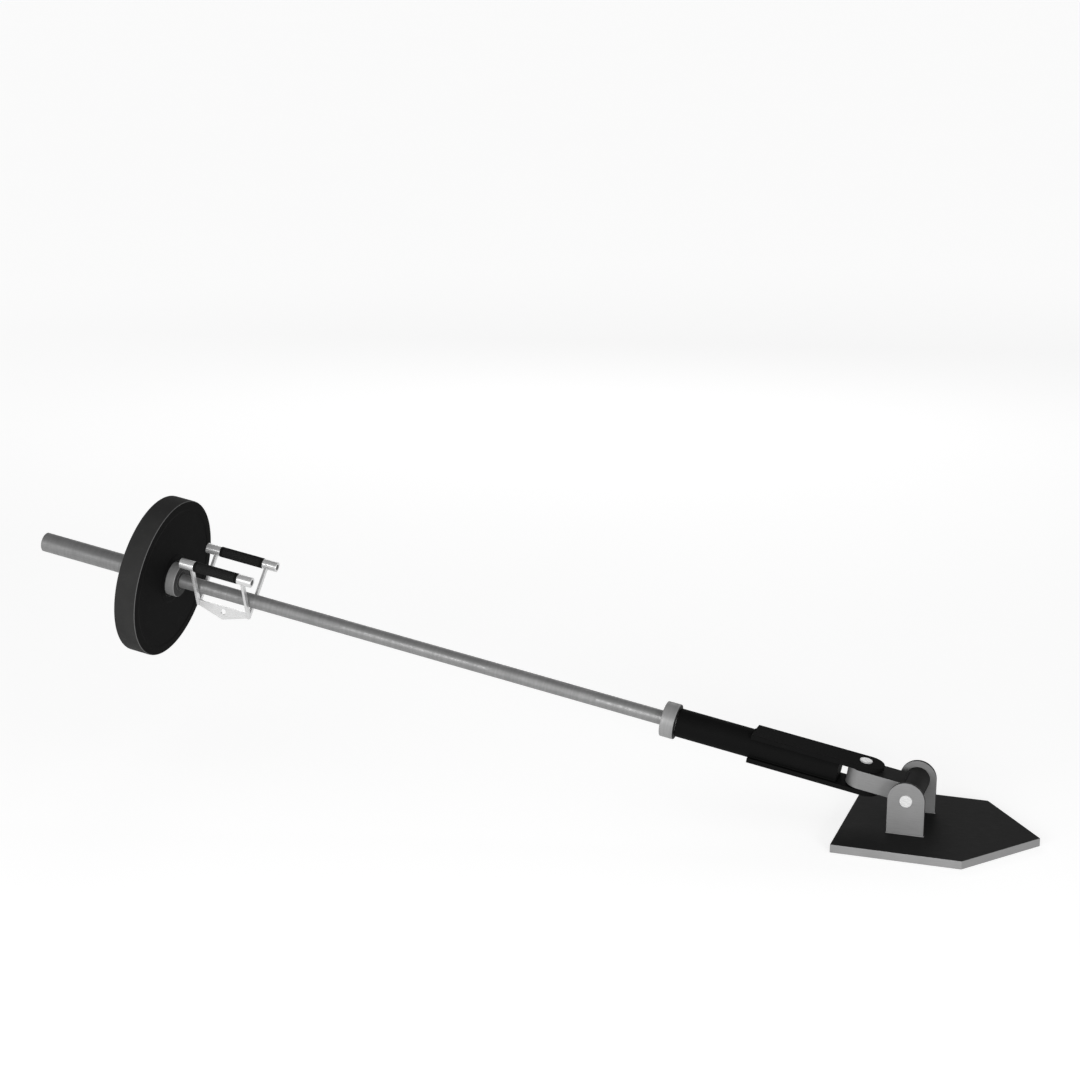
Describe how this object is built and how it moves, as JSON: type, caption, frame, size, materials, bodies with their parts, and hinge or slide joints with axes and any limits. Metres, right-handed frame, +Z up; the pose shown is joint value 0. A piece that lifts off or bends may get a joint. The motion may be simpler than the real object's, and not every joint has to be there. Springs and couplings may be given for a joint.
{
  "type": "t bar row",
  "caption": "T-bar row: floor pivot on a pointed base plate, hinged and swivelling bar receiver, Olympic bar with a weight plate, and a V row handle under the bar.",
  "frame": {"origin": "on the floor, straight below the pivot pin, in the middle of the base plate's width", "axes": "+Z up; the pivot pin lies along Y; the base plate points towards +X and the bar runs towards -X and rises"},
  "size_m": [2.5965, 0.411, 0.6462],
  "materials": {
    "base_coat": "black textured coat on top, ground steel edges",
    "ear_steel": "satin ground steel",
    "pin_steel": "bright turned steel",
    "barrel_paint": "dark satin paint",
    "link_steel": "dark coat on the broad faces, satin steel sides",
    "black_coat": "black powder coat",
    "liner_nylon": "natural nylon",
    "bush_bronze": "turned bronze",
    "spring_steel": "dark phosphated spring steel",
    "washer_zinc": "zinc plated",
    "bar_steel": "satin steel, knurled where it is held",
    "sleeve_steel": "satin turned steel",
    "collar_steel": "satin turned steel",
    "plate_rubber": "matt black moulded rubber",
    "hub_steel": "turned steel",
    "handle_chrome": "light satin plated steel",
    "grip_rubber": "black ribbed rubber",
    "plug_plastic": "black moulded plastic"
  },
  "bodies": {
    "base": {"base_plate": "base_coat", "front_pivot_ear": "ear_steel", "rear_pivot_ear": "ear_steel", "pivot_pin": "pin_steel", "pivot_pin_washer": "washer_zinc", "pivot_pin_circlip": "spring_steel"},
    "swivel_head": {"pivot_barrel": "barrel_paint", "pivot_bushes": "bush_bronze", "swivel_link": "link_steel", "swivel_bushes": "bush_bronze"},
    "receiver": {"upper_clevis_plate": "black_coat", "lower_clevis_plate": "black_coat", "receiver_tube": "black_coat", "receiver_end_plug": "black_coat", "receiver_liner": "liner_nylon", "swivel_pin": "pin_steel", "swivel_pin_washer": "washer_zinc", "swivel_pin_circlip": "spring_steel"},
    "bar_right_sleeve": {"right_sleeve": "sleeve_steel", "right_collar": "collar_steel", "right_sleeve_bushes": "bush_bronze", "right_end_cap": "sleeve_steel"},
    "shaft": {"bar_shaft": "bar_steel", "sleeve_snap_rings": "spring_steel"},
    "bar_left_sleeve": {"left_sleeve": "sleeve_steel", "left_collar": "collar_steel", "left_sleeve_bushes": "bush_bronze", "left_end_cap": "sleeve_steel"},
    "weight": {"weight_plate": "plate_rubber", "weight_plate_hub": "hub_steel"},
    "row_handle": {"left_v_plate": "handle_chrome", "right_v_plate": "handle_chrome", "handle_gusset": "handle_chrome", "front_grip_core": "handle_chrome", "rear_grip_core": "handle_chrome", "front_rubber_grip": "grip_rubber", "rear_rubber_grip": "grip_rubber", "grip_end_plugs": "plug_plastic"}
  },
  "joints": [
    {"name": "bar_raise", "type": "hinge", "parent": "base", "child": "swivel_head", "pos_m": [0, 0, 0.103], "axis": [0, 1, 0], "range_deg": [-6.75, 65]},
    {"name": "bar_swing", "type": "hinge", "parent": "swivel_head", "child": "receiver", "pos_m": [-0.11776, 0, 0.12334], "axis": [0.1702, 0, 0.9854], "range_deg": [-60, 60]},
    {"name": "sleeve_pull_out", "type": "slide", "parent": "receiver", "child": "bar_right_sleeve", "axis": [-0.9854, 0, 0.1702], "range_m": [0, 0.4]},
    {"name": "shaft_spin", "type": "hinge", "parent": "bar_right_sleeve", "child": "shaft", "pos_m": [-0.60701, 0, 0.20785], "axis": [-0.9854, 0, 0.1702], "continuous": true},
    {"name": "left_sleeve_spin", "type": "hinge", "parent": "shaft", "child": "bar_left_sleeve", "pos_m": [-1.8979, 0, 0.43082], "axis": [-0.9854, 0, 0.1702], "continuous": true},
    {"name": "weight_slide", "type": "slide", "parent": "bar_left_sleeve", "child": "weight", "axis": [-0.9854, 0, 0.1702], "range_m": [0, 0.39]},
    {"name": "handle_lift_off", "type": "slide", "parent": "bar_right_sleeve", "child": "row_handle", "axis": [-0.1702, 0, -0.9854], "range_m": [0, 0.13]}
  ]
}
